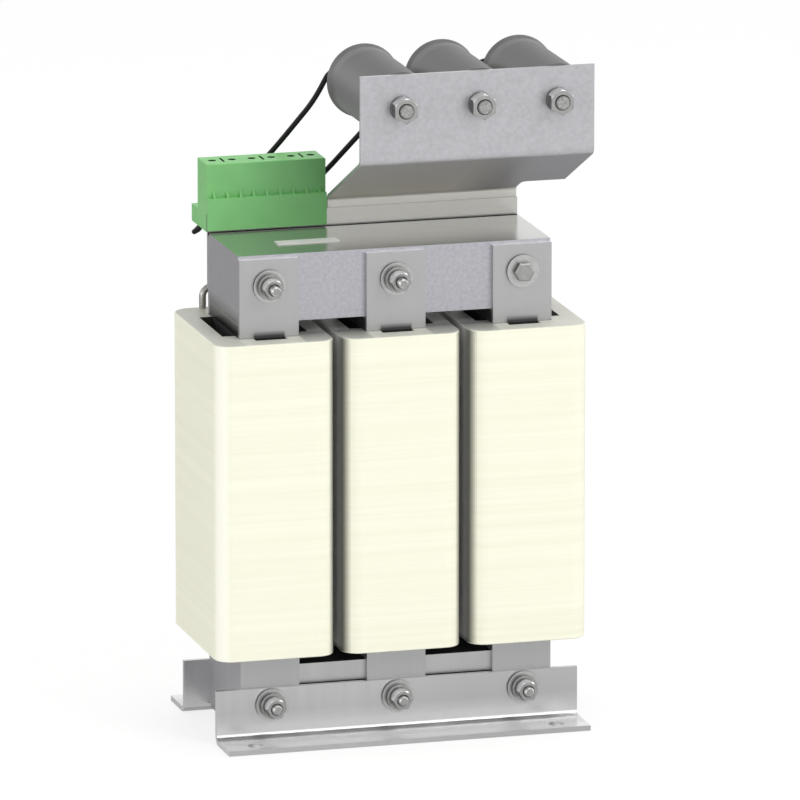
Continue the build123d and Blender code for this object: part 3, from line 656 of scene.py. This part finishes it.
def build_looks():
    """All materials of the part by name."""
    looks = {
        "core_steel": core_material(),
        "coil_tape": coil_material(),
        "zinc_steel": sheet_material(
            "zinc_steel",
            colour(185, 185, 186),
            colour(182, 182, 183),
            roughness=0.34,
            metallic=0.75,
            pattern=brushed,
            shade=within_coil,
            # painted highlight on the strips' upward faces
            edge=colour(250, 250, 250),
        ),
        "foot_steel": foot_material(),
        "plate_steel": sheet_material(
            "plate_steel",
            colour(206, 205, 200),
            colour(200, 199, 194),
            roughness=0.26,
            metallic=0.85,
            pattern=clean,
            shade=plate_foot,
        ),
        "bracket_steel": bracket_material(),
        "fastener_steel": fastener_material("fastener_steel", 132, 168),
        # painted highlights on the nuts' upper chamfers
        "stud_nut_steel": fastener_material("stud_nut_steel", 140, 172, 230),
        "nut_steel": fastener_material("nut_steel", 124, 168, 250),
        "washer_steel": fastener_material("washer_steel", 140, 194),
        # painted shade on bolt threads and a painted highlight on their chamfered tips
        "thread_steel": fastener_material("thread_steel", 100, 176),
        "chamfer_steel": fastener_material("chamfer_steel", 236, 236),
        "can_aluminium": can_material(),
        "lid_plastic": moulded_material("lid_plastic", colour(46, 46, 47), colour(34, 34, 35), 0.5),
        "terminal_green": terminal_material(),
        "clamp_metal": bare_lead_material(),
        "black_wire": wire_material(),
        "boot_plastic": moulded_material("boot_plastic", colour(30, 30, 31), colour(22, 22, 23), 0.45),
        "insulation": moulded_material("insulation", colour(126, 124, 118), colour(112, 110, 104), 0.7),
        "label_white": moulded_material("label_white", colour(222, 222, 218), colour(214, 214, 210), 0.35),
    }
    looks["bare_lead"] = looks["clamp_metal"]
    return looks


def dress_nodes(looks):
    """Gives every CAD node the look of its slot or its own, and breaks the edges of some."""
    for part in frame["record"]["subparts"]:
        name = part["node"]
        mesh = nodes[name].data
        mesh.materials.clear()
        mesh.materials.append(looks[OWN_LOOKS.get(name, part["material_slot"])])
        if name in BROKEN_EDGES:
            soften(nodes[name], BROKEN_EDGES[name])


def soften(piece, width):
    """Breaks the sharp edges of a sheet or block."""
    bevel = piece.modifiers.new("broken edges", "BEVEL")
    bevel.width = width * MM
    bevel.segments = EDGE_SEGMENTS
    bevel.limit_method = "ANGLE"
    bevel.angle_limit = math.radians(EDGE_ANGLE)


# Pieces that replace the plain bolts


def close_skin(bm, grid):
    """Faces between neighbouring rings, band by band, and a cap on either end."""
    bands = []
    for lower, upper in zip(grid, grid[1:]):
        band = []
        for step in range(len(lower)):
            after = (step + 1) % len(lower)
            band.append(bm.faces.new((lower[step], lower[after], upper[after], upper[step])))
        bands.append(band)
    bm.faces.new(grid[-1])
    bm.faces.new(list(reversed(grid[0])))
    return bands


def thread_rings(bm, radius, depth, pitch, start, end):
    """Screw thread as a helical skin along Y, closed at both ends and chamfered at its tip."""
    rows = (int((end - start) / pitch) + 1) * THREAD_ROWS
    grid = []
    for row in range(rows + 1):
        along = start + (end - start) * row / rows
        chamfer = max(0.0, BOLT_CHAMFER - abs(end - along))
        ring = []
        for step in range(THREAD_STEPS):
            angle = 2 * math.pi * step / THREAD_STEPS
            phase = (along / pitch - step / THREAD_STEPS) % 1.0
            height = abs(2 * phase - 1)
            reach = min(radius - depth * height, radius - chamfer)
            ring.append(bm.verts.new((reach * math.cos(angle), along, reach * math.sin(angle))))
        grid.append(ring)
    for band in close_skin(bm, grid):
        # the thread takes the painted shade, the chamfered tip the painted highlight
        tapered = end - band[0].verts[0].co.y < BOLT_CHAMFER
        for face in band:
            face.material_index = CHAMFER_HIGHLIGHT_INDEX if tapered else THREAD_SHADE_INDEX


def hexagon(bm, flats, start, end):
    """Hexagon head along Y with a bevel around its outer face."""
    corner = flats / math.sqrt(3)
    bevel = math.copysign((corner - flats / 2) * HEAD_BEVEL_SHARE, end - start)
    levels = [(start, corner), (end - bevel, corner), (end, flats / 2 - HEAD_INSET)]
    grid = []
    for along, reach in levels:
        ring = []
        for step in range(6):
            angle = math.pi * step / 3
            ring.append(bm.verts.new((reach * math.cos(angle), along, reach * math.sin(angle))))
        grid.append(ring)
    close_skin(bm, grid)


def place_mesh(name, bm, matrix, materials):
    """Object from a bmesh in millimetres, put in place and carried by the part."""
    bmesh.ops.transform(bm, matrix=matrix, verts=bm.verts)
    bmesh.ops.scale(bm, vec=(MM, MM, MM), verts=bm.verts)
    bmesh.ops.recalc_face_normals(bm, faces=bm.faces)
    mesh = bpy.data.meshes.new(name)
    bm.to_mesh(mesh)
    bm.free()
    for material in materials:
        mesh.materials.append(material)
    piece = bpy.data.objects.new(name, mesh)
    bpy.context.scene.collection.objects.link(piece)
    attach(piece, "root")
    return piece


def bolt_places():
    """Place, bearing face of the head and tip of each yoke bolt, in millimetres."""
    top_low, top_high = (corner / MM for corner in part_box("top_bolts"))
    foot_low, foot_high = (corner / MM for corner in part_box("lower_bolts"))
    top_z = (top_low.z + top_high.z) / 2
    foot_z = (foot_low.z + foot_high.z) / 2
    heads = {
        "left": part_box("terminal_plate")[1].y / MM + WASHER_THICKNESS,
        "centre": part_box("capacitor_bracket")[1].y / MM + WASHER_THICKNESS,
        "right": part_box("front_strip_right")[0].y / MM - WASHER_THICKNESS,
    }
    tops, feet = [], []
    for place, bearing in heads.items():
        low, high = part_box("front_strip_" + place)
        x = (low.x + high.x) / 2 / MM
        tip = top_high.y if place == "right" else top_low.y
        tops.append((x, top_z, bearing, tip))
        feet.append((x, foot_z, foot_high.y - BOLT_HEAD_HEIGHT, foot_low.y))
    return tops, feet


def threaded_bolt(name, bolt_looks, x, z, bearing, tip):
    """Hexagon bolt with a plain shank and a rolled thread at its end."""
    length = abs(tip - bearing)
    plain = length - BOLT_THREAD + SHANK_OVERLAP
    bm = bmesh.new()
    hexagon(bm, BOLT_FLATS, 0.0, -BOLT_HEAD_HEIGHT)
    thread_rings(bm, BOLT_DIAMETER / 2, BOLT_THREAD_DEPTH, BOLT_PITCH, length - BOLT_THREAD, length)
    shank = bmesh.ops.create_cone(
        bm,
        cap_ends=True,
        segments=THREAD_STEPS,
        radius1=BOLT_DIAMETER / 2 - SHANK_UNDERSIZE,
        radius2=BOLT_DIAMETER / 2 - SHANK_UNDERSIZE,
        depth=plain,
    )
    turn = Matrix.Translation((0, plain / 2, 0)) @ Matrix.Rotation(math.pi / 2, 4, "X")
    bmesh.ops.transform(bm, matrix=turn, verts=shank["verts"])
    if tip < bearing:
        bmesh.ops.rotate(bm, matrix=Matrix.Rotation(math.pi, 3, "Z"), verts=bm.verts)
    return place_mesh(name, bm, Matrix.Translation((x, bearing, z)), bolt_looks)


def build_bolts(looks):
    """Threaded bolts in place of the plain ones of both yokes."""
    bolt_looks = [looks["fastener_steel"], looks["thread_steel"], looks["chamfer_steel"]]
    for row, places in zip(("top", "lower"), bolt_places()):
        for index, place in enumerate(places):
            piece = threaded_bolt(f"{row}_bolt_{index + 1}", bolt_looks, *place)
            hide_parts(row + "_bolts")


# Stage


def floor_material():
    """White floor that takes the part's soft shadow; its mirror image is bright in front, dim behind."""
    tree = Tree("floor")
    tree.finish(colour(250, 250, 250), 0.9)
    path = tree.add("LightPath")
    glossy = path.outputs["Is Glossy Ray"]
    mirrored = tree.remap(tree.along("Y"), *FLOOR_MIRRORED, 0.85, 0.34)
    strength = tree.remap(glossy, 0.0, 1.0, 1.07, 0.0)
    strength = tree.math("ADD", strength, tree.both(glossy, mirrored))
    glow = tree.add("Emission", Color=(1.0, 1.0, 1.0, 1.0), Strength=strength)
    share = tree.math("MAXIMUM", tree.both(path.outputs["Is Camera Ray"], 0.72), tree.both(glossy, 0.9))
    blend = tree.add("MixShader", Fac=share)
    tree.links.new(tree.shader.outputs["BSDF"], blend.inputs[1])
    tree.links.new(glow.outputs["Emission"], blend.inputs[2])
    tree.links.new(blend.outputs["Shader"], tree.nodes["Material Output"].inputs["Surface"])
    return tree.material


def build_stage():
    """White floor under the feet."""
    half = FLOOR_HALF
    mesh = bpy.data.meshes.new("floor")
    corners = [(-half, -half, 0), (half, -half, 0), (half, half, 0), (-half, half, 0)]
    mesh.from_pydata(corners, [], [(0, 1, 2, 3)])
    mesh.materials.append(floor_material())
    floor = bpy.data.objects.new("floor", mesh)
    floor.location.z = -FLOOR_DROP
    bpy.context.scene.collection.objects.link(floor)


def build_world():
    """White surround to the camera; on the part, light that is stronger low down than overhead."""
    world = bpy.data.worlds.new("studio")
    bpy.context.scene.world = world
    world.use_nodes = True
    tree = world.node_tree
    background = tree.nodes["Background"]
    direction = tree.nodes.new("ShaderNodeTexCoord")
    split = tree.nodes.new("ShaderNodeSeparateXYZ")
    height = tree.nodes.new("ShaderNodeMapRange")
    limits = ("From Min", "From Max", "To Min", "To Max")
    for key, value in zip(limits, SURROUND_HEIGHTS + SURROUND_STRENGTHS):
        height.inputs[key].default_value = value
    path = tree.nodes.new("ShaderNodeLightPath")
    strength = tree.nodes.new("ShaderNodeMath")
    strength.operation = "MAXIMUM"
    tree.links.new(direction.outputs["Generated"], split.inputs["Vector"])
    tree.links.new(split.outputs["Z"], height.inputs["Value"])
    tree.links.new(height.outputs["Result"], strength.inputs[0])
    tree.links.new(path.outputs["Is Camera Ray"], strength.inputs[1])
    tree.links.new(strength.outputs["Value"], background.inputs["Strength"])
    background.inputs["Color"].default_value = (1.0, 1.0, 1.0, 1.0)


def build_lamps():
    """Soft square lamps at the right front, at the left and above, turned to the part."""
    for name, (place, size, power) in LAMPS.items():
        data = bpy.data.lights.new(name, "AREA")
        data.shape = "SQUARE"
        data.size = size
        data.energy = power
        lamp = bpy.data.objects.new(name, data)
        lamp.location = place
        look = Vector(LAMP_TARGET) - Vector(place)
        lamp.rotation_euler = look.to_track_quat("-Z", "Y").to_euler()
        bpy.context.scene.collection.objects.link(lamp)


def build_camera():
    """Camera at the photograph's place and angle."""
    azimuth = math.radians(CAMERA_AZIMUTH)
    elevation = math.radians(CAMERA_ELEVATION)
    back = Vector((
        math.sin(azimuth) * math.cos(elevation),
        -math.cos(azimuth) * math.cos(elevation),
        math.sin(elevation),
    ))
    right = Vector((math.cos(azimuth), math.sin(azimuth), 0.0))
    up = back.cross(right)
    turn = Matrix((right, up, back)).transposed().to_4x4()
    data = bpy.data.cameras.new("camera")
    data.lens = CAMERA_LENS
    data.sensor_width = CAMERA_SENSOR
    data.clip_end = CAMERA_RANGE
    camera = bpy.data.objects.new("camera", data)
    camera.matrix_world = Matrix.Translation(CAMERA_EYE) @ turn
    bpy.context.scene.collection.objects.link(camera)
    bpy.context.scene.camera = camera


looks = build_looks()
dress_nodes(looks)
build_bolts(looks)
build_stage()
build_world()
build_lamps()
build_camera()

bpy.context.scene.view_settings.view_transform = "Standard"
bpy.context.view_layer.update()
